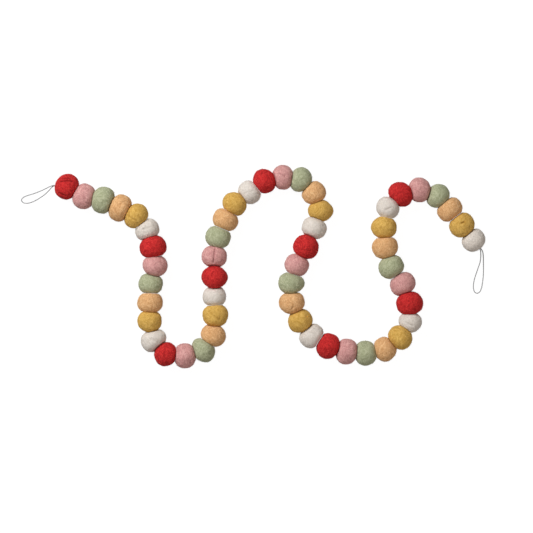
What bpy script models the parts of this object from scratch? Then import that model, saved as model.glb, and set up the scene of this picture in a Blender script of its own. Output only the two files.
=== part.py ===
"""A felt ball garland: wool felt balls threaded tight on one thin cord, laid in a wave on a flat surface.

Metres, +Z up. The garland lies on z = 0, and its first ball is at the -X end. The origin is on the
surface, under the middle of the rectangle that the balls cover. Six colours repeat along the string.
Each ball is pressed flat against its neighbours, so it is a squat bun with a flat seam at each end, and
it has a small flat spot where it lies. The cord shows only as a doubled loop beyond each end ball.
"""

import math
from collections import namedtuple

import bmesh
import bpy
import numpy as np

MM = 0.001
COLLECTION = "felt_ball_garland"

# Two balls keep this apart at their seam.
SEAM_GAP = 0.3 * MM

# A ball sinks this far into its flat spot, and felt that is then lower than settle lies on the surface.
FLAT_SPOT_SINK = 1.2 * MM
FLAT_SPOT_SETTLE = 0.8 * MM

# The felts, in their order along the string. Thickness is along the string. Squareness is the power
# of the ball's side outline: 2 is round, and more is closer to a drum.
Felt = namedtuple("Felt", "colour thickness squareness")
FELTS = {
    "red": Felt((0.60, 0.023, 0.024), 33.5 * MM, 2.0),
    "pink": Felt((0.69, 0.345, 0.32), 31.0 * MM, 2.15),
    "green": Felt((0.44, 0.46, 0.285), 30.0 * MM, 2.15),
    "peach": Felt((0.79, 0.45, 0.205), 30.5 * MM, 2.1),
    "yellow": Felt((0.69, 0.42, 0.10), 32.0 * MM, 2.05),
    "white": Felt((0.75, 0.68, 0.60), 28.5 * MM, 2.3),
}
FELT_ROUGHNESS = 0.95

# The width of each ball across the string, in mm: a row for each repeat of the colours.
WIDTH_COLUMNS = ("red", "pink", "green", "peach", "yellow", "white")
WIDTHS_MM = (
    (42, 41, 43, 43, 42, 39),
    (43, 40, 39, 41, 39, 41),
    (41, 40, 42, 41, 41, 37),
    (42, 40, 41, 41, 40, 38),
    (40, 40, 41, 40, 41, 39),
    (42, 39, 40, 42, 40, 40),
    (42, 41, 40, 41, 41, 38),
    (43, 41, 41, 41, 40, 38),
    (42, 40, 41, 41, 42, 39),
)

# How far the top of each ball leans over the ball before it, in mm, in the same rows and columns.
# A negative lean is the ball before it leaning over this one.
LEANS_MM = (
    (0, 1, 2, 2, 1, -1),
    (1, -0.5, -2.5, 0, -1.5, -1.5),
    (3, -1, -2, 0, 2, 0),
    (3.5, -3.5, 0.5, 0, 0.5, -2.5),
    (0, -3.5, -1, -1.5, -1.5, 2.5),
    (2.5, -1.5, -0.5, -1.5, -2.5, -3.5),
    (0.5, -3, -2, 0, 2, -1.5),
    (1.5, -2.5, -1, 1, 0.5, 0.5),
    (-3, -3.5, -2.5, -0.5, 0.5, -2),
)
LEAN_HEIGHT = 15 * MM

# The string's way over the surface: a row for each pair of balls. x and y place the pair's first ball,
# and next_side is how far its second ball sits to the left of the string's line. A place on the line
# is known by a ball's number, and a short way is a share of the way from one ball to the next.
Pair = namedtuple("Pair", "x y next_side")
PAIRS_MM = (
    Pair(-326, 129, -5.5),
    Pair(-268, 107, -2.0),
    Pair(-215, 82, 0.5),
    Pair(-188, 32, 4.0),
    Pair(-192, -27, 2.0),
    Pair(-194, -86, -2.5),
    Pair(-168, -140, 1.5),
    Pair(-107, -134, -3.0),
    Pair(-88, -77, 1.5),
    Pair(-90, -16, 1.5),
    Pair(-84, 48, -1.5),
    Pair(-58, 101, -4.0),
    Pair(-10, 138, 0),
    Pair(48, 140, 1.0),
    Pair(81, 90, -3.0),
    Pair(57, 32, -0.5),
    Pair(32, -26, -1.5),
    Pair(47, -86, -1.5),
    Pair(92, -127, 1.5),
    Pair(152, -138, -2.5),
    Pair(208, -113, -3.5),
    Pair(223, -58, -3.0),
    Pair(193, 0, 0.5),
    Pair(181, 63, 2.5),
    Pair(208, 117, 2.0),
    Pair(269, 114, -2.5),
    Pair(306, 67, 0),
)
LAST_BALL_MM = (326, 42)
SHORT_WAY = 0.1

# The free sides of the two end balls, from the ball's middle.
FIRST_FREE_REACH = 18 * MM
LAST_FREE_REACH = 16 * MM

# Balls that bulge to one side: which ball, the way it bulges in plan from +X, and by how much.
Bulge = namedtuple("Bulge", "ball towards_deg by_mm")
BULGES = (
    Bulge(12, 40, 2.0),
    Bulge(13, -90, 1.0),
    Bulge(15, 125, 2.0),
    Bulge(15, -115, -2.5),
    Bulge(19, 0, 1.5),
    Bulge(19, 45, -1.5),
    Bulge(19, 135, -1.5),
    Bulge(19, -45, -1.5),
    Bulge(19, -135, -1.5),
    Bulge(26, 60, -1.5),
    Bulge(26, 120, -1.5),
    Bulge(28, 30, -2.0),
    Bulge(29, 0, 2.0),
    Bulge(33, 0, 3.0),
    Bulge(33, 55, -2.5),
    Bulge(33, -55, -2.5),
    Bulge(34, -125, -1.5),
    Bulge(40, -45, -2.0),
    Bulge(42, -50, -2.0),
    Bulge(44, -30, -1.5),
    Bulge(47, 180, 1.5),
    Bulge(49, 150, 1.5),
    Bulge(51, 15, -1.5),
)
BULGE_HALF_WIDTH = math.radians(50)

# A bend squeezes its inner side squarer and leaves its outer side rounder, by this much for a sharp one.
BEND_SQUEEZE = 0.9

# Broad lumps from felting by hand, as a share of the ball's radius.
LUMP_SHARE = 0.012
LUMP_WAVES = 4
LUMP_PITCH = 2.2

# Mesh of a ball: its rings run round the string, and the second from each end is the seam's rim.
BALL_SIDES = 16
BALL_BANDS = 9
RIM_ANGLE = 2 * math.pi / BALL_BANDS
RIM_HALVINGS = 24
SHARP_ANGLE = math.radians(40)

# The cord and its two loops. Each row is a place on the way out of the end ball and back into it.
CORD_DIAMETER = 1.8 * MM
CORD_STEP = 3.2 * MM
CORD_COLOUR = (0.42, 0.42, 0.42)
CORD_ROUGHNESS = 0.8
CordPoint = namedtuple("CordPoint", "x y z")
LEFT_LOOP_MM = (
    CordPoint(-345.5, 130.6, 20.9),
    CordPoint(-348.2, 130.4, 20.6),
    CordPoint(-353.4, 128.6, 17.9),
    CordPoint(-360.0, 125.8, 12.4),
    CordPoint(-366.5, 123.0, 6.9),
    CordPoint(-374.0, 120.2, 2.7),
    CordPoint(-382.5, 117.2, 1.2),
    CordPoint(-390.5, 114.8, 1.1),
    CordPoint(-397.2, 111.6, 1.1),
    CordPoint(-400.2, 107.4, 1.1),
    CordPoint(-397.4, 103.6, 1.1),
    CordPoint(-391.4, 102.4, 1.1),
    CordPoint(-383.5, 104.2, 1.2),
    CordPoint(-376.0, 107.6, 2.3),
    CordPoint(-368.5, 112.0, 5.3),
    CordPoint(-361.5, 116.6, 10.4),
    CordPoint(-355.0, 122.4, 15.7),
    CordPoint(-350.4, 127.2, 18.1),
    CordPoint(-347.8, 129.2, 18.6),
    CordPoint(-345.5, 130.0, 18.6),
)
RIGHT_LOOP_MM = (
    CordPoint(335.1, 29.0, 19.9),
    CordPoint(336.0, 26.6, 19.7),
    CordPoint(336.6, 21.5, 17.4),
    CordPoint(336.9, 15.5, 12.2),
    CordPoint(336.2, 7.5, 5.8),
    CordPoint(333.6, -1.0, 2.2),
    CordPoint(330.4, -10.5, 1.2),
    CordPoint(327.6, -19.5, 1.1),
    CordPoint(326.0, -28.0, 1.1),
    CordPoint(326.2, -35.5, 1.1),
    CordPoint(328.2, -40.4, 1.1),
    CordPoint(332.0, -42.2, 1.1),
    CordPoint(335.8, -40.2, 1.1),
    CordPoint(338.6, -34.6, 1.1),
    CordPoint(340.6, -24.6, 1.1),
    CordPoint(341.8, -13.0, 1.2),
    CordPoint(342.0, -2.0, 1.9),
    CordPoint(341.7, 8.0, 5.4),
    CordPoint(341.0, 17.5, 11.8),
    CordPoint(339.9, 23.8, 15.8),
    CordPoint(338.2, 27.4, 17.6),
    CordPoint(336.6, 29.6, 17.9),
)


def clear_scene():
    for obj in list(bpy.data.objects):
        bpy.data.objects.remove(obj, do_unlink=True)


def make_collection():
    collection = bpy.data.collections.new(COLLECTION)
    bpy.context.scene.collection.children.link(collection)
    return collection


def make_material(name, colour, roughness):
    material = bpy.data.materials.new(name)
    material.use_nodes = True
    shader = material.node_tree.nodes["Principled BSDF"]
    shader.inputs["Base Color"].default_value = (*colour, 1)
    shader.inputs["Roughness"].default_value = roughness
    shader.inputs["Metallic"].default_value = 0
    return material


def curve_at(knots, points, where):
    """The place at one knot value on the smooth curve that passes through all the points."""
    slopes = np.gradient(points, knots, axis=0)
    i = int(np.clip(np.searchsorted(knots, where, side="right") - 1, 0, len(knots) - 2))
    span = knots[i + 1] - knots[i]
    s = (where - knots[i]) / span
    return (
        (2 * s**3 - 3 * s**2 + 1) * points[i]
        + (s**3 - 2 * s**2 + s) * span * slopes[i]
        + (3 * s**2 - 2 * s**3) * points[i + 1]
        + (s**3 - s**2) * span * slopes[i + 1]
    )


def ball_centres():
    """Each ball's middle in plan. Odd balls lie on the string's line, and even balls beside it."""
    last = 2 * len(PAIRS_MM)
    knots = np.array([*range(1, last, 2), last], float)
    line = np.array([(pair.x, pair.y) for pair in PAIRS_MM] + [LAST_BALL_MM]) * MM
    centres = []
    for i, pair in enumerate(PAIRS_MM):
        even = 2 * i + 2
        on_line = curve_at(knots, line, even)
        way = on_line - curve_at(knots, line, even - SHORT_WAY)
        left = np.array((-way[1], way[0])) / np.linalg.norm(way)
        centres += [line[i], on_line + left * pair.next_side * MM]
    return centres


def ball_seams(centres, felts, leans):
    """Each ball's seams, back and ahead: the way out through the seam, and the ball's reach that way."""
    seams = [[None, None] for _ in centres]
    for i, (here, there) in enumerate(zip(centres, centres[1:])):
        apart = there - here
        distance = np.linalg.norm(apart[:2])
        share = felts[i].thickness / (felts[i].thickness + felts[i + 1].thickness)
        level = np.array((*apart[:2], 0)) / distance
        lean = math.atan(leans[i + 1] / LEAN_HEIGHT)
        unit = level * math.cos(lean) + np.array((0, 0, math.sin(lean)))
        middle = level * distance * share + np.array((0, 0, apart[2] / 2))
        seams[i][1] = (unit, middle @ unit - SEAM_GAP / 2)
        seams[i + 1][0] = (-unit, (apart - middle) @ unit - SEAM_GAP / 2)
    return seams


def lumps(direction, number):
    """The swelling of ball number in a direction, as a share of its radius. Each ball has its own."""
    rng = np.random.default_rng(number)
    waves = rng.normal(size=(LUMP_WAVES, 3)) * LUMP_PITCH
    phases = rng.uniform(0, 2 * math.pi, LUMP_WAVES)
    return LUMP_SHARE * np.sin(waves @ direction + phases).sum()


def bulge_at(direction, number):
    """What the table of bulges adds to ball number in a direction, as a length."""
    total = 0.0
    for bulge in BULGES:
        if bulge.ball != number:
            continue
        angle = math.radians(bulge.towards_deg)
        off = math.acos(np.clip(direction @ (math.cos(angle), math.sin(angle), 0), -1, 1))
        if off < BULGE_HALF_WIDTH:
            total += bulge.by_mm * MM * (0.5 + 0.5 * math.cos(math.pi * off / BULGE_HALF_WIDTH))
    return total


class Ball:
    """One felt ball: its middle, radius and felt, and where its neighbours stop it along the string."""

    def __init__(self, number, centre, felt, radius, seams):
        self.number = number
        self.felt = felt
        self.radius = radius
        self.centre = centre
        self.seams = seams
        back, ahead = (np.zeros(3) if seam is None else seam[0] for seam in seams)
        way = ahead - back
        self.along = np.array((*way[:2], 0)) / np.linalg.norm(way[:2])
        self.across = np.array((-self.along[1], self.along[0], 0))
        self.inward = self.across * (self.across @ (ahead + back))

    def unpressed(self, end, angle, aside):
        """The place at an angle from the string, on the side that aside points to, before any pressing."""
        half_length = self.radius
        power = self.felt.squareness + BEND_SQUEEZE * (aside @ self.inward)
        if self.seams[end] is None:
            half_length, power = (LAST_FREE_REACH if end else FIRST_FREE_REACH), 2
        cosine, sine = math.cos(angle), math.sin(angle)
        size = (cosine**power + sine**power) ** (-1 / power)
        along = self.along * math.copysign(half_length * cosine, end - 0.5)
        return (along + aside * self.radius * sine) * size

    def rim_angle(self, end, aside):
        """The angle from the string at which that side of the ball meets its seam, found by halving."""
        if self.seams[end] is None:
            return RIM_ANGLE
        unit, reach = self.seams[end]
        low, high = 0, math.pi / 2
        for _ in range(RIM_HALVINGS):
            angle = (low + high) / 2
            if self.unpressed(end, angle, aside) @ unit > reach:
                low = angle
            else:
                high = angle
        return low

    def surface(self, sphere):
        """The place on the ball for a point of the unit sphere whose poles lie on the string."""
        end = int(sphere.z > 0)
        turn = math.atan2(sphere.y, sphere.x) + math.pi / BALL_SIDES
        aside = self.across * math.sin(turn) + np.array((0, 0, -math.cos(turn)))
        angle = math.acos(min(abs(sphere.z), 1))
        rim = self.rim_angle(end, aside)
        angle = np.interp(angle, (0, RIM_ANGLE, math.pi / 2), (0, rim, math.pi / 2))
        place = self.unpressed(end, angle, aside)
        direction = place / np.linalg.norm(place)
        place = place * (1 + lumps(direction, self.number))
        place = place + direction * bulge_at(direction, self.number)
        return self.pressed(place)

    def pressed(self, place):
        """The place moved back along the string to the seams it would cross, and set on the surface."""
        for seam in self.seams:
            if seam is None:
                continue
            unit, reach = seam
            past = place @ unit - reach
            if past > 0:
                place = place - self.along * past / (self.along @ unit)
        if place[2] < FLAT_SPOT_SETTLE - self.centre[2]:
            place[2] = -self.centre[2]
        return place


def make_ball(ball, name, material, collection):
    form = bmesh.new()
    bmesh.ops.create_uvsphere(form, u_segments=BALL_SIDES, v_segments=BALL_BANDS, radius=1)
    for vert in form.verts:
        vert.co = ball.surface(vert.co)
    form.normal_update()
    bmesh.ops.recalc_face_normals(form, faces=form.faces)
    mesh = bpy.data.meshes.new(name)
    form.to_mesh(mesh)
    form.free()
    mesh.shade_smooth()
    mesh.set_sharp_from_angle(angle=SHARP_ANGLE)
    mesh.materials.append(material)
    obj = bpy.data.objects.new(name, mesh)
    obj.location = ball.centre
    collection.objects.link(obj)


def make_balls(collection):
    names = WIDTH_COLUMNS * len(WIDTHS_MM)
    widths = [width * MM for row in WIDTHS_MM for width in row]
    materials = {
        name: make_material(f"{name}_felt", felt.colour, FELT_ROUGHNESS)
        for name, felt in FELTS.items()
    }
    felts = [FELTS[name] for name in names]
    centres = [
        np.array((*centre, width / 2 - FLAT_SPOT_SINK)) for centre, width in zip(ball_centres(), widths)
    ]
    leans = [lean * MM for row in LEANS_MM for lean in row]
    seams = ball_seams(centres, felts, leans)
    for i, (name, felt, width) in enumerate(zip(names, felts, widths)):
        ball = Ball(i + 1, centres[i], felt, width / 2, seams[i])
        make_ball(ball, f"ball_{i + 1:02d}_{name}", materials[name], collection)


def make_cord_loop(name, route_mm, material, collection):
    """A tube along the smooth curve through the route's places, with its points evenly spaced."""
    route = np.array(route_mm) * MM
    knots = np.concatenate(([0], np.cumsum(np.linalg.norm(np.diff(route, axis=0), axis=1))))
    count = round(knots[-1] / CORD_STEP) + 1
    curve = bpy.data.curves.new(name, "CURVE")
    curve.dimensions = "3D"
    curve.bevel_depth = CORD_DIAMETER / 2
    curve.bevel_resolution = 2
    curve.use_fill_caps = True
    spline = curve.splines.new("POLY")
    spline.points.add(count - 1)
    for point, where in zip(spline.points, np.linspace(0, knots[-1], count)):
        point.co = (*curve_at(knots, route, where), 1)
    curve.materials.append(material)
    collection.objects.link(bpy.data.objects.new(name, curve))


def make_cord_loops(collection):
    material = make_material("stringing_cord", CORD_COLOUR, CORD_ROUGHNESS)
    make_cord_loop("cord_loop_left", LEFT_LOOP_MM, material, collection)
    make_cord_loop("cord_loop_right", RIGHT_LOOP_MM, material, collection)


def main():
    clear_scene()
    collection = make_collection()
    make_balls(collection)
    make_cord_loops(collection)


main()
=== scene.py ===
"""The looks of the felt ball garland: fine felted balls, loose wool fibres and two twisted cord loops.

Metres, in the frame of the solids. Each ball is grown from its solid: the solid's facets are smoothed
away, creases, pits and a fine wool relief go in, and it stays behind its seams and on the surface.
"""

import math
from collections import namedtuple

import bmesh
import bpy
import numpy as np
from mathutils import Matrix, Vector, noise
from mathutils.bvhtree import BVHTree


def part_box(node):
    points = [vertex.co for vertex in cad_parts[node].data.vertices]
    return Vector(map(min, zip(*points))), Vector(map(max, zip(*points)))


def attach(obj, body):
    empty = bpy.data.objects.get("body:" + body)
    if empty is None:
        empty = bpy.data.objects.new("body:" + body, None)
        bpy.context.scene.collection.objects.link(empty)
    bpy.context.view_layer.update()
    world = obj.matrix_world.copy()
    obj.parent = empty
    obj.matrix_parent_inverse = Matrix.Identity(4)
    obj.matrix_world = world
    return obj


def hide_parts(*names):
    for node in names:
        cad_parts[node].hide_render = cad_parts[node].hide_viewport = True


MM = 0.001
BODY = "root"
WHITE = (1, 1, 1, 1)

# The picture covers this width at the height of the balls' middles, with its centre here in plan.
PICTURE_WIDTH = 852.8 * MM
PICTURE_CENTRE = (-6.4 * MM, 0.8 * MM)
BALL_MIDDLE = 20 * MM
LENS_MM = 200
SENSOR_MM = 36
CLIP_END = 50

# The lights, each with its place, its width, its power in watts and its colour. The key light is at the
# far left, and the fill is warmer and from the near right.
Light = namedtuple("Light", "name place width power colour")
LIGHTS = (
    Light("key", (-1.5, 1.5, 2.0), 1.3, 73, (0.985, 1, 1.03)),
    Light("fill", (1.4, -1.3, 2.2), 2.0, 12, (1, 0.88, 0.80)),
)
SKY_STRENGTH = 0.29
FLOOR_SIZE = 14
FLOOR_COLOUR = (0.1, 0.1, 0.1)
FLOOR_ROUGHNESS = 0.9

# The floor glows like a lit table for the camera, and less for what stands on it.
FLOOR_GLOW_SEEN = 0.96
FLOOR_GLOW_CAST = 0.22

# The felts: the middle colour, and what its shaded and its light fibres multiply it by.
Felt = namedtuple("Felt", "colour shade light")
FELTS = {
    "red": Felt((0.60, 0.023, 0.024), (0.56, 0.44, 0.48), (1.25, 2.2, 1.8)),
    "pink": Felt((0.69, 0.345, 0.32), (0.70, 0.61, 0.63), (1.17, 1.36, 1.31)),
    "green": Felt((0.44, 0.46, 0.285), (0.67, 0.68, 0.62), (1.25, 1.22, 1.30)),
    "peach": Felt((0.79, 0.45, 0.205), (0.73, 0.64, 0.54), (1.12, 1.27, 1.42)),
    "yellow": Felt((0.69, 0.42, 0.10), (0.74, 0.67, 0.52), (1.16, 1.23, 1.45)),
    "white": Felt((0.75, 0.68, 0.60), (0.84, 0.83, 0.82), (1.08, 1.09, 1.11)),
}
FELT_ROUGHNESS = 0.95
FELT_SPECULAR = 0.2
FELT_SHEEN = 0.12
SHEEN_ROUGHNESS = 0.5
SHEEN_TINT = (1.2, 1.2, 1.2)
FELT_BUMP_DEPTH = 0.3 * MM
FELT_BUMP_STRENGTH = 0.7

# The noises of a material: the size of one blotch, how many finer layers it has, and how rough they are.
Pattern = namedtuple("Pattern", "pitch detail roughness")
STREAKS = Pattern(0.6 * MM, 4.0, 0.62)
CROSS_STREAKS = Pattern(0.8 * MM, 3.0, 0.6)
WISPS = Pattern(1.9 * MM, 3.0, 0.65)
MOTTLE = Pattern(3.2 * MM, 3.0, 0.6)
FLECKS = Pattern(2.4 * MM, 2.0, 0.6)

# The fibres swirl: every place is first moved by up to half of the reach, as a wide noise says. Then it
# is squeezed by these shares along x, y and z, which draws the noises out into fibres.
SWIRL = Pattern(22 * MM, 1.0, 0.5)
SWIRL_REACH = 30 * MM
NOISE_MIDDLE = 0.5
DRAWN = (1.0, 0.28, 0.5)
CROSSED = (0.25, 1.0, 0.5)

# How far a colour is mixed in: the noise from low to high gives a share from to_low to to_high.
Level = namedtuple("Level", "low high to_low to_high")
FIBRE_LEVEL = Level(1.28, 1.72, 0.0, 1.0)
MOTTLE_LEVEL = Level(0.42, 0.60, 0.0, 0.7)
LIGHT_LEVEL = Level(0.45, 1.0, 0.0, 0.9)
SHADE_LEVEL = Level(0.0, 0.45, 0.7, 0.0)
FLECK_LEVEL = Level(0.58, 0.70, 0.0, 0.6)

# The balls' mesh: an even grid of this many squares along each edge of a cube, blown round.
GRID_SQUARES = 32
SMOOTHING_ROUNDS = 32
SMOOTHING_PULL = 0.5
ROUNDED_GROWTH = 1.024

# A solid's face is a seam where its direction and the neighbour's have more than this cosine. The felt
# stays this far behind its solid there, and elsewhere stands at most this proud of it.
SEAM_COSINE = 0.965
SEAM_PLAY = 0.05 * MM
MOST_PROUD = 0.95 * MM

# Keeps the step down to the surface from being divided by nothing.
LEAST_DOWN = 1e-6

# The felt is drawn in towards the string by this share at a seam, and less and less past this distance.
DRAWN_IN_SHARE = 0.1
DRAWN_IN_LENGTH = 3.8 * MM

# Relief of the felt: soft dents, then the lie of the wool. Pitch is the size of one bump. Decay is how
# fast the finer octaves fade, and each is finer than the last by this factor.
Relief = namedtuple("Relief", "height pitch octaves")
RELIEFS = (
    Relief(0.38 * MM, 11 * MM, 2),
    Relief(0.30 * MM, 4.2 * MM, 3),
)
RELIEF_DECAY = 1.0
RELIEF_FINER = 2.0

# Creases, as seen from above in shares of the ball's radius, +y away from the viewer.
Crease = namedtuple("Crease", "ball x0 y0 x1 y1 depth_mm width_mm")
CREASES = (
    Crease(1, -0.45, 0.40, 0.45, 0.42, 2.2, 1.3),
    Crease(1, -0.35, 0.60, 0.30, 0.62, 1.5, 1.2),
    Crease(1, -0.55, -0.50, -0.10, -0.72, 1.4, 1.5),
    Crease(2, 0.10, -0.45, 0.45, -0.62, 0.8, 1.5),
    Crease(4, -0.10, 0.20, 0.45, 0.50, 0.7, 1.4),
    Crease(5, -0.60, 0.10, 0.10, -0.35, 0.8, 1.4),
    Crease(5, 0.20, 0.05, 0.55, -0.30, 0.8, 1.3),
    Crease(6, -0.30, 0.00, 0.25, 0.15, 0.8, 1.6),
    Crease(12, -0.20, 0.20, 0.35, -0.05, 0.9, 1.6),
    Crease(17, -0.50, 0.35, 0.35, -0.30, 1.0, 1.4),
    Crease(20, 0.05, 0.60, -0.05, -0.45, 1.8, 1.5),
    Crease(24, -0.40, -0.10, 0.30, 0.10, 0.8, 1.7),
    Crease(26, -0.25, 0.30, 0.20, 0.05, 0.9, 1.5),
    Crease(31, -0.30, -0.20, 0.35, -0.30, 0.9, 1.6),
    Crease(36, -0.20, 0.30, 0.35, 0.20, 0.8, 1.7),
    Crease(42, -0.45, 0.10, 0.15, -0.20, 1.2, 1.7),
    Crease(48, -0.25, -0.20, 0.20, -0.05, 1.2, 1.6),
    Crease(53, -0.10, 0.14, 0.12, 0.22, 2.6, 1.3),
)

# Small creases and pits that every ball has of its own. The pairs are the least and the most share of the
# named depth or radius that one gets. A small crease is about this long, as a share of the ball's radius.
SMALL_CREASES = 4
SMALL_CREASE_DEPTH = 0.7 * MM
SMALL_CREASE_DEPTHS = (0.5, 1.3)
SMALL_CREASE_WIDTH = 1.3 * MM
SMALL_CREASE_LENGTH = 0.35
PITS = 7
PIT_DEPTH = 0.8 * MM
PIT_DEPTHS = (0.4, 1.2)
PIT_RADIUS = 1.3 * MM
PIT_RADII = (0.6, 1.3)

# The pit in an end ball where the cord goes in, and how many steps a crease's arc is cut into.
CORD_PIT_DEPTH = 1.1 * MM
CORD_PIT_RADIUS = 2.6 * MM
ARC_STEPS = 17

# Painted shade in the creases and pits: a mesh attribute holds how far the felt is darkened, full at this
# depth.
PAINTED_SHADE_ATTRIBUTE = "painted_shade"
PAINTED_SHADE_DEPTH = 1.5 * MM
PAINTED_SHADE_LEVEL = Level(0.1, 1.0, 0.0, 0.8)

# Loose fibres that stand off each ball.
FIBRES_A_BALL = 470
FIBRE_RADIUS = 0.05 * MM
FIBRE_ROOT = 0.2 * MM
FIBRE_LENGTHS = (2.0 * MM, 5.5 * MM)
FIBRE_HEIGHTS = (0.25 * MM, 1.2 * MM)
FIBRE_SWAY = 0.45
FIBRE_SIDES = 3
FIBRE_SEED = 1000

# No fibre grows lower than the clearance, or where the felt faces a neighbour by more than this cosine.
FIBRE_CLEARANCE = 2.0 * MM
FIBRE_FACING = 0.8

# Where a fibre bends and where it ends, as shares of its length and of its height.
FIBRE_BEND_ALONG = 0.5
FIBRE_TIP_ALONG = 0.85
FIBRE_TIP_UP = 0.6

# The cord: three plies twisted together, and the places that each loop passes on its way.
CORD_DIAMETER = 1.8 * MM
CORD_RING_STEP = 0.42 * MM
CORD_SIDES = 12
CORD_PLIES = 3
CORD_PLY_DEPTH = 0.22
CORD_TWIST_LENGTH = 9 * MM
CORD_TUCK = 2.4 * MM
CORD_COLOUR = (0.42, 0.42, 0.42)
CORD_SHADE = (0.72, 0.72, 0.72)
CORD_LIGHT = (1.2, 1.2, 1.2)
CORD_SOILED = (0.8, 0.78, 0.74)
CORD_ROUGHNESS = 0.8
CORD_BUMP_DEPTH = 0.08 * MM
CORD_BUMP_STRENGTH = 0.6
THREADS = Pattern(0.3 * MM, 3.0, 0.6)
SOILING = Pattern(7 * MM, 2.0, 0.5)
THREAD_LEVEL = Level(0.3, 0.7, 0.0, 1.0)
SOILING_LEVEL = Level(0.4, 0.8, 0.0, 0.4)
LEFT_LOOP_MM = (
    (-345.5, 130.6, 20.9),
    (-348.2, 130.4, 20.6),
    (-353.4, 128.6, 17.9),
    (-360.0, 125.8, 12.4),
    (-366.5, 123.0, 6.9),
    (-374.0, 120.2, 2.7),
    (-382.5, 117.2, 1.2),
    (-390.5, 114.8, 1.1),
    (-397.2, 111.6, 1.1),
    (-400.2, 107.4, 1.1),
    (-397.4, 103.6, 1.1),
    (-391.4, 102.4, 1.1),
    (-383.5, 104.2, 1.2),
    (-376.0, 107.6, 2.3),
    (-368.5, 112.0, 5.3),
    (-361.5, 116.6, 10.4),
    (-355.0, 122.4, 15.7),
    (-350.4, 127.2, 18.1),
    (-347.8, 129.2, 18.6),
    (-345.5, 130.0, 18.6),
)
RIGHT_LOOP_MM = (
    (335.1, 29.0, 19.9),
    (336.0, 26.6, 19.7),
    (336.6, 21.5, 17.4),
    (336.9, 15.5, 12.2),
    (336.2, 7.5, 5.8),
    (333.6, -1.0, 2.2),
    (330.4, -10.5, 1.2),
    (327.6, -19.5, 1.1),
    (326.0, -28.0, 1.1),
    (326.2, -35.5, 1.1),
    (328.2, -40.4, 1.1),
    (332.0, -42.2, 1.1),
    (335.8, -40.2, 1.1),
    (338.6, -34.6, 1.1),
    (340.6, -24.6, 1.1),
    (341.8, -13.0, 1.2),
    (342.0, -2.0, 1.9),
    (341.7, 8.0, 5.4),
    (341.0, 17.5, 11.8),
    (339.9, 23.8, 15.8),
    (338.2, 27.4, 17.6),
    (336.6, 29.6, 17.9),
)
LOOPS = {"cord_loop_left": LEFT_LOOP_MM, "cord_loop_right": RIGHT_LOOP_MM}

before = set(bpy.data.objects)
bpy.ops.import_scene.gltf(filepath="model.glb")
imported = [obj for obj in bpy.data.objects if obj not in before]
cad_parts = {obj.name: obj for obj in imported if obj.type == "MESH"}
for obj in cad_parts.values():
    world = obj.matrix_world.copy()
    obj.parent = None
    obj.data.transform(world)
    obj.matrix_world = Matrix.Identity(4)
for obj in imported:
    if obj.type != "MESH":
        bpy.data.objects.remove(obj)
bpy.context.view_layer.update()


def link(obj):
    bpy.context.scene.collection.objects.link(obj)
    return obj


def mesh_object(name, points, faces, material):
    mesh = bpy.data.meshes.new(name)
    mesh.from_pydata(np.asarray(points).tolist(), [], faces)
    mesh.shade_smooth()
    mesh.materials.append(material)
    return link(bpy.data.objects.new(name, mesh))


def look_at(obj, target):
    obj.rotation_euler = (Vector(target) - obj.location).to_track_quat("-Z", "Y").to_euler()


def make_camera():
    """The camera looks straight down from far off, with +Y up in the picture."""
    data = bpy.data.cameras.new("camera")
    data.lens = LENS_MM
    data.sensor_width = SENSOR_MM
    data.clip_end = CLIP_END
    camera = link(bpy.data.objects.new("camera", data))
    distance = PICTURE_WIDTH * LENS_MM / SENSOR_MM
    camera.location = (*PICTURE_CENTRE, BALL_MIDDLE + distance)
    bpy.context.scene.camera = camera


def make_lights():
    for light in LIGHTS:
        data = bpy.data.lights.new(light.name, "AREA")
        data.size = light.width
        data.energy = light.power
        data.color = light.colour
        lamp = link(bpy.data.objects.new(light.name, data))
        lamp.location = light.place
        look_at(lamp, (0, 0, 0))
    world = bpy.data.worlds.new("studio")
    world.use_nodes = True
    sky = world.node_tree.nodes["Background"]
    sky.inputs["Color"].default_value = WHITE
    sky.inputs["Strength"].default_value = SKY_STRENGTH
    bpy.context.scene.world = world
    bpy.context.scene.view_settings.view_transform = "Standard"


def make_floor():
    bpy.ops.mesh.primitive_plane_add(size=FLOOR_SIZE)
    floor = bpy.context.object
    floor.name = "floor"
    nodes = Nodes("floor")
    nodes.shader.inputs["Base Color"].default_value = (*FLOOR_COLOUR, 1)
    nodes.shader.inputs["Roughness"].default_value = FLOOR_ROUGHNESS
    nodes.shader.inputs["Emission Color"].default_value = WHITE
    seen = nodes.add("ShaderNodeLightPath").outputs["Is Camera Ray"]
    glow = nodes.spread(seen, 0, 1, FLOOR_GLOW_CAST, FLOOR_GLOW_SEEN)
    nodes.join(glow, nodes.shader.inputs["Emission Strength"])
    floor.data.materials.append(nodes.material)


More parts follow.
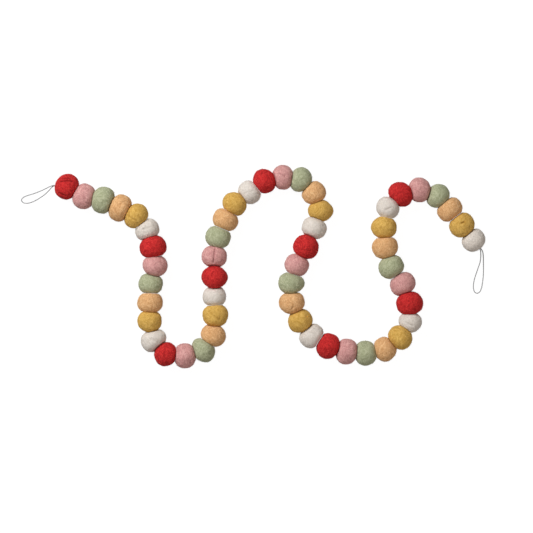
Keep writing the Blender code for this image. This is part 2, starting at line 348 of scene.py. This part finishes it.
class Nodes:
    """A material's node tree, with short calls that add one node each."""

    def __init__(self, name):
        self.material = bpy.data.materials.new(name)
        self.material.use_nodes = True
        self.tree = self.material.node_tree
        self.shader = self.tree.nodes["Principled BSDF"]
        self.place = self.add("ShaderNodeTexCoord").outputs["Object"]

    def add(self, kind, **settings):
        node = self.tree.nodes.new(kind)
        for key, value in settings.items():
            setattr(node, key, value)
        return node

    def join(self, output, socket):
        self.tree.links.new(output, socket)

    def noise(self, place, pattern, output="Fac"):
        node = self.add("ShaderNodeTexNoise")
        node.inputs["Scale"].default_value = 1 / pattern.pitch
        node.inputs["Detail"].default_value = pattern.detail
        node.inputs["Roughness"].default_value = pattern.roughness
        self.join(place, node.inputs["Vector"])
        return node.outputs[output]

    def vector(self, operation, first, second):
        """A vector sum or the like; second is a socket or three numbers."""
        node = self.add("ShaderNodeVectorMath", operation=operation)
        self.join(first, node.inputs[0])
        if isinstance(second, tuple):
            node.inputs[1].default_value = second
        else:
            self.join(second, node.inputs[1])
        return node.outputs["Vector"]

    def spread(self, value, low, high, to_low, to_high):
        """The value from low to high, drawn out to the new range and held there."""
        node = self.add("ShaderNodeMapRange", clamp=True)
        node.inputs["From Min"].default_value = low
        node.inputs["From Max"].default_value = high
        node.inputs["To Min"].default_value = to_low
        node.inputs["To Max"].default_value = to_high
        self.join(value, node.inputs["Value"])
        return node.outputs["Result"]

    def number(self, operation, first, second):
        node = self.add("ShaderNodeMath", operation=operation)
        self.join(first, node.inputs[0])
        self.join(second, node.inputs[1])
        return node.outputs["Value"]

    def mix(self, share, first, second):
        """A colour mix; first and second are sockets or colours."""
        node = self.add("ShaderNodeMix", data_type="RGBA")
        self.join(share, node.inputs["Factor"])
        for socket, colour in ((node.inputs[6], first), (node.inputs[7], second)):
            if isinstance(colour, tuple):
                socket.default_value = (*colour, 1)
            else:
                self.join(colour, socket)
        return node.outputs[2]

    def bump(self, height, distance, strength):
        node = self.add("ShaderNodeBump")
        node.inputs["Strength"].default_value = strength
        node.inputs["Distance"].default_value = distance
        self.join(height, node.inputs["Height"])
        self.join(node.outputs["Normal"], self.shader.inputs["Normal"])


def times(colour, by):
    return tuple(min(a * b, 1.0) for a, b in zip(colour, by))


def make_felt(name, felt):
    """Wool felt: swirling fibres, dark and light flecks, slow changes of shade, and painted shade in
    creases.
    """
    nodes = Nodes(f"{name}_felt")
    swirl = nodes.noise(nodes.place, SWIRL, "Color")
    swirl = nodes.vector("SUBTRACT", swirl, (NOISE_MIDDLE,) * 3)
    swirl = nodes.vector("MULTIPLY", swirl, (SWIRL_REACH,) * 3)
    bent = nodes.vector("ADD", nodes.place, swirl)
    drawn = nodes.vector("MULTIPLY", bent, DRAWN)
    crossed = nodes.vector("MULTIPLY", bent, CROSSED)
    streaks = nodes.noise(drawn, STREAKS)
    cross_streaks = nodes.noise(crossed, CROSS_STREAKS)
    wisps = nodes.noise(drawn, WISPS)
    mottle = nodes.noise(bent, MOTTLE)
    flecks = nodes.noise(drawn, FLECKS)

    shade = times(felt.colour, felt.shade)
    light = times(felt.colour, felt.light)
    fibres = nodes.number("ADD", streaks, cross_streaks)
    fibres = nodes.number("ADD", fibres, wisps)
    share = nodes.spread(fibres, *FIBRE_LEVEL)
    middle = nodes.mix(nodes.spread(mottle, *MOTTLE_LEVEL), felt.colour, shade)
    lit = nodes.mix(nodes.spread(share, *LIGHT_LEVEL), middle, light)
    shaded = nodes.mix(nodes.spread(share, *SHADE_LEVEL), lit, shade)
    flecked = nodes.mix(nodes.spread(flecks, *FLECK_LEVEL), shaded, shade)
    # Painted shade: the felt colour is darkened in its creases and pits, as far as the mesh attribute
    # says.
    painted_shade = nodes.add("ShaderNodeAttribute", attribute_name=PAINTED_SHADE_ATTRIBUTE).outputs["Fac"]
    with_painted_shade = nodes.mix(nodes.spread(painted_shade, *PAINTED_SHADE_LEVEL), flecked, times(shade, felt.shade))
    nodes.join(with_painted_shade, nodes.shader.inputs["Base Color"])
    nodes.bump(nodes.number("SUBTRACT", fibres, mottle), FELT_BUMP_DEPTH, FELT_BUMP_STRENGTH)
    nodes.shader.inputs["Roughness"].default_value = FELT_ROUGHNESS
    nodes.shader.inputs["Specular IOR Level"].default_value = FELT_SPECULAR
    nodes.shader.inputs["Sheen Weight"].default_value = FELT_SHEEN
    nodes.shader.inputs["Sheen Roughness"].default_value = SHEEN_ROUGHNESS
    nodes.shader.inputs["Sheen Tint"].default_value = (*times(felt.colour, SHEEN_TINT), 1)
    return nodes.material


def make_fibre_wool(name, felt):
    """One loose wool fibre is too thin to show a pattern, so it has its felt's lighter colour."""
    material = bpy.data.materials.new(f"{name}_fibre")
    material.use_nodes = True
    shader = material.node_tree.nodes["Principled BSDF"]
    shader.inputs["Base Color"].default_value = (*times(felt.colour, felt.light), 1)
    shader.inputs["Roughness"].default_value = FELT_ROUGHNESS
    shader.inputs["Specular IOR Level"].default_value = FELT_SPECULAR
    return material


def make_cord_cotton():
    """Grey cotton, with fine threads and a little soiling."""
    nodes = Nodes("stringing_cord")
    threads = nodes.noise(nodes.place, THREADS)
    soiling = nodes.noise(nodes.place, SOILING)
    dark = times(CORD_COLOUR, CORD_SHADE)
    pale = times(CORD_COLOUR, CORD_LIGHT)
    soiled = times(CORD_COLOUR, CORD_SOILED)
    clean = nodes.mix(nodes.spread(threads, *THREAD_LEVEL), dark, pale)
    colour = nodes.mix(nodes.spread(soiling, *SOILING_LEVEL), clean, soiled)
    nodes.join(colour, nodes.shader.inputs["Base Color"])
    nodes.bump(threads, CORD_BUMP_DEPTH, CORD_BUMP_STRENGTH)
    nodes.shader.inputs["Roughness"].default_value = CORD_ROUGHNESS
    return nodes.material


def curve_at(knots, points, where):
    """The place at one knot value on the smooth curve that passes through all the points."""
    slopes = np.gradient(points, knots, axis=0)
    i = int(np.clip(np.searchsorted(knots, where, side="right") - 1, 0, len(knots) - 2))
    span = knots[i + 1] - knots[i]
    s = (where - knots[i]) / span
    return (
        (2 * s**3 - 3 * s**2 + 1) * points[i]
        + (s**3 - 2 * s**2 + s) * span * slopes[i]
        + (3 * s**2 - 2 * s**3) * points[i + 1]
        + (s**3 - s**2) * span * slopes[i + 1]
    )


def unit(vectors):
    return vectors / np.linalg.norm(vectors, axis=-1, keepdims=True)


def cord_line(route_mm):
    """The loop's centreline at even steps, with both ends tucked a little way into the ball."""
    route = np.array(route_mm) * MM
    first = route[0] - unit(route[1] - route[0]) * CORD_TUCK
    last = route[-1] + unit(route[-1] - route[-2]) * CORD_TUCK
    route = np.vstack((first, route, last))
    knots = np.concatenate(([0], np.cumsum(np.linalg.norm(np.diff(route, axis=0), axis=1))))
    count = round(knots[-1] / CORD_RING_STEP) + 1
    return np.array([curve_at(knots, route, where) for where in np.linspace(0, knots[-1], count)])


def cord_rings(line):
    """The rings of the twisted cord round its line, carried along without turning but for the twist."""
    ways = unit(np.gradient(line, axis=0))
    side = unit(np.cross(ways[0], (0, 0, 1)))
    angles = np.arange(CORD_SIDES) * 2 * math.pi / CORD_SIDES
    rings = []
    for i, (place, way) in enumerate(zip(line, ways)):
        side = unit(side - way * (side @ way))
        other = np.cross(way, side)
        twist = 2 * math.pi * i * CORD_RING_STEP / CORD_TWIST_LENGTH
        plies = np.cos(CORD_PLIES * (angles - twist))
        radii = CORD_DIAMETER / 2 * (1 + CORD_PLY_DEPTH * (plies - 1) / 2)
        spokes = np.cos(angles)[:, None] * side + np.sin(angles)[:, None] * other
        rings.append(place + radii[:, None] * spokes)
    return np.vstack(rings)


def make_cord(name, route_mm, material):
    line = cord_line(route_mm)
    faces = [tuple(range(CORD_SIDES))[::-1]]
    for ring in range(len(line) - 1):
        for i in range(CORD_SIDES):
            a = ring * CORD_SIDES + i
            b = ring * CORD_SIDES + (i + 1) % CORD_SIDES
            faces.append((a, b, b + CORD_SIDES, a + CORD_SIDES))
    faces.append(tuple(range((len(line) - 1) * CORD_SIDES, len(line) * CORD_SIDES)))
    piece = mesh_object(f"{name}_twisted", cord_rings(line), faces, material)
    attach(piece, BODY)
    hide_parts(name)


class Grid:
    """The points, edges and faces of the even grid on the unit sphere, shared by all the balls."""

    def __init__(self):
        form = bmesh.new()
        bmesh.ops.create_cube(form, size=2)
        bmesh.ops.subdivide_edges(form, edges=form.edges, cuts=GRID_SQUARES - 1, use_grid_fill=True)
        for vert in form.verts:
            vert.co = Vector([math.tan(c * math.pi / 4) for c in vert.co]).normalized()
        form.verts.index_update()
        self.ways = np.array([vert.co for vert in form.verts], float)
        self.edges = np.array([[vert.index for vert in edge.verts] for edge in form.edges])
        self.faces = [tuple(vert.index for vert in face.verts) for face in form.faces]
        self.valence = np.bincount(self.edges.ravel(), minlength=len(self.ways))
        form.free()

    def smoothed(self, values):
        """The values drawn towards their neighbours' mean, several times."""
        for _ in range(SMOOTHING_ROUNDS):
            total = np.bincount(self.edges[:, 0], values[self.edges[:, 1]], len(values))
            total += np.bincount(self.edges[:, 1], values[self.edges[:, 0]], len(values))
            values = values + (total / self.valence - values) * SMOOTHING_PULL
        return values


def solid_reach(node, centre, ways):
    """How far the solid reaches from its middle along each way, and its outward direction there."""
    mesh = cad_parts[node].data
    tree = BVHTree.FromPolygons([v.co for v in mesh.vertices], [tuple(p.vertices) for p in mesh.polygons])
    reach = np.empty(len(ways))
    outward = np.empty((len(ways), 3))
    for i, way in enumerate(ways):
        place, normal, _, distance = tree.ray_cast(centre, Vector(way))
        if place is None:
            place, normal, _, _ = tree.find_nearest(Vector(centre) + Vector(way) * BALL_MIDDLE)
            distance = (place - Vector(centre)).length
        reach[i] = distance
        outward[i] = normal
    return reach, outward


def trough(ways, start, end, width):
    """1 along the arc from start to end on the sphere, falling softly to 0 beside it; width is a share."""
    steps = np.linspace(0, 1, ARC_STEPS)[:, None]
    arc = unit(start * (1 - steps) + end * steps)
    away = np.linalg.norm(ways[:, None] - arc[None], axis=2).min(axis=1)
    return np.exp(-((away / width) ** 2))


def on_top(x, y):
    return np.array((x, y, math.sqrt(max(0.0, 1 - x * x - y * y))))


def carving(number, ways, radius, rng, cord_ways):
    """The depth of all the creases and pits of one ball, along each way from its middle."""
    depth = np.zeros(len(ways))
    for crease in CREASES:
        if crease.ball != number:
            continue
        ends = on_top(crease.x0, crease.y0), on_top(crease.x1, crease.y1)
        depth += crease.depth_mm * MM * trough(ways, *ends, crease.width_mm * MM / radius)
    for _ in range(SMALL_CREASES):
        start = unit(rng.normal(size=3))
        end = unit(start + rng.normal(size=3) * SMALL_CREASE_LENGTH)
        deep = SMALL_CREASE_DEPTH * rng.uniform(*SMALL_CREASE_DEPTHS)
        depth += deep * trough(ways, start, end, SMALL_CREASE_WIDTH / radius)
    for _ in range(PITS):
        middle = unit(rng.normal(size=3))
        wide = PIT_RADIUS * rng.uniform(*PIT_RADII) / radius
        depth += PIT_DEPTH * rng.uniform(*PIT_DEPTHS) * trough(ways, middle, middle, wide)
    for way in cord_ways:
        depth += CORD_PIT_DEPTH * trough(ways, way, way, CORD_PIT_RADIUS / radius)
    return depth


def relief(places):
    """The uneven felt at each place: soft dents and the lie of the wool."""
    total = np.zeros(len(places))
    for layer in RELIEFS:
        settings = (RELIEF_DECAY, RELIEF_FINER, layer.octaves)
        heights = [noise.fractal(Vector(place / layer.pitch), *settings) for place in places]
        total += layer.height * np.array(heights)
    return total


def drawn_in(offsets, solid_offsets, outward, facing):
    """The places from the ball's middle, with those near one seam drawn in towards the string."""
    seam = facing > SEAM_COSINE
    way = unit(outward[seam].mean(axis=0))
    past = (solid_offsets[seam] @ way).mean() - offsets @ way
    along = (offsets @ way)[:, None] * way
    share = DRAWN_IN_SHARE * np.exp(-((past / DRAWN_IN_LENGTH) ** 2))
    return along + (offsets - along) * (1 - share[:, None])


def ball_surface(number, node, centre, neighbours, grid, cord_ends):
    """The points of one felted ball, which are free of the seams, and how much painted shade each gets."""
    rng = np.random.default_rng(number)
    reach, outward = solid_reach(node, centre, grid.ways)
    radius = float(np.median(reach))
    facings = [outward @ unit(other - centre) for other in neighbours]
    facing = np.max(facings, axis=0)
    in_seam = facing > SEAM_COSINE
    cord_ways = [unit(end - centre) for end in cord_ends]
    places = centre + grid.ways * reach[:, None]
    carved = carving(number, grid.ways, radius, rng, cord_ways)
    size = grid.smoothed(reach) * ROUNDED_GROWTH - carved + relief(places)
    size = np.minimum(size, reach + np.where(in_seam, -SEAM_PLAY, MOST_PROUD))
    down = np.maximum(-grid.ways[:, 2], LEAST_DOWN)
    size = np.minimum(size, np.where(grid.ways[:, 2] < 0, centre[2] / down, np.inf))
    offsets = grid.ways * size[:, None]
    for one in facings:
        offsets = drawn_in(offsets, places - centre, outward, one)
    points = centre + offsets
    points[:, 2] = np.maximum(points[:, 2], 0)
    free = (facing < FIBRE_FACING) & (points[:, 2] > FIBRE_CLEARANCE)
    # The carved depth also sets the painted shade of the creases and pits.
    return points, free, np.minimum(carved / PAINTED_SHADE_DEPTH, 1)


def ball_fibres(number, points, free, centre):
    """The loose fibres of one ball: thin bent spikes whose roots are in the felt."""
    rng = np.random.default_rng(FIBRE_SEED + number)
    roots = points[rng.choice(np.flatnonzero(free), FIBRES_A_BALL, replace=False)]
    up = unit(roots - centre)
    ahead = unit(np.cross(up, rng.normal(size=up.shape)))
    aside = np.cross(up, ahead)
    length = rng.uniform(*FIBRE_LENGTHS, (FIBRES_A_BALL, 1))
    height = rng.uniform(*FIBRE_HEIGHTS, (FIBRES_A_BALL, 1))
    sway = rng.uniform(-FIBRE_SWAY, FIBRE_SWAY, (FIBRES_A_BALL, 1))
    start = roots - up * FIBRE_ROOT
    middle = start + ahead * length * FIBRE_BEND_ALONG + up * (height + FIBRE_ROOT / 2)
    tip = start + ahead * length * FIBRE_TIP_ALONG + aside * length * sway + up * height * FIBRE_TIP_UP
    rings = []
    for place in (start, middle):
        for i in range(FIBRE_SIDES):
            angle = 2 * math.pi * i / FIBRE_SIDES
            rings.append(place + FIBRE_RADIUS * (math.cos(angle) * up + math.sin(angle) * aside))
    each = np.stack((*rings, tip), axis=1)
    return np.maximum(each, (-np.inf, -np.inf, FIBRE_RADIUS)).reshape(-1, 3)


def fibre_faces(count):
    """The faces of that many fibres, each of two rings and a tip."""
    tip = 2 * FIBRE_SIDES
    faces = []
    for fibre in range(count):
        first = fibre * (tip + 1)
        faces.append(tuple(first + i for i in range(FIBRE_SIDES)))
        for i in range(FIBRE_SIDES):
            j = (i + 1) % FIBRE_SIDES
            faces.append((first + FIBRE_SIDES + i, first + FIBRE_SIDES + j, first + j, first + i))
            faces.append((first + tip, first + FIBRE_SIDES + j, first + FIBRE_SIDES + i))
    return faces


def ball_nodes():
    """The solids of the balls in their order along the string."""
    return sorted(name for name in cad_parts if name.startswith("ball_"))


def make_balls():
    grid = Grid()
    felts = {name: make_felt(name, felt) for name, felt in FELTS.items()}
    fibres = {name: [] for name in FELTS}
    names = ball_nodes()
    centres = [np.array(sum(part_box(name), Vector()) / 2) for name in names]
    ends = {names[0]: LEFT_LOOP_MM, names[-1]: RIGHT_LOOP_MM}
    for i, node in enumerate(names):
        neighbours = [centres[j] for j in (i - 1, i + 1) if 0 <= j < len(names)]
        cord_ends = [np.array(ends[node][k]) * MM for k in (0, -1)] if node in ends else []
        points, free, painted_shade = ball_surface(i + 1, node, centres[i], neighbours, grid, cord_ends)
        colour = node.rsplit("_", 1)[1]
        piece = mesh_object(f"felted_{node}", points, grid.faces, felts[colour])
        # The mesh attribute holds the painted shade of the creases and pits.
        piece.data.attributes.new(PAINTED_SHADE_ATTRIBUTE, "FLOAT", "POINT").data.foreach_set("value", painted_shade)
        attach(piece, BODY)
        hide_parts(node)
        fibres[colour].append(ball_fibres(i + 1, points, free, centres[i]))
    for colour, each in fibres.items():
        wool = make_fibre_wool(colour, FELTS[colour])
        faces = fibre_faces(len(each) * FIBRES_A_BALL)
        piece = mesh_object(f"loose_fibres_{colour}", np.vstack(each), faces, wool)
        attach(piece, BODY)


def make_cords():
    cotton = make_cord_cotton()
    for name, route_mm in LOOPS.items():
        make_cord(name, route_mm, cotton)


make_camera()
make_cords()
make_lights()
make_floor()
make_balls()
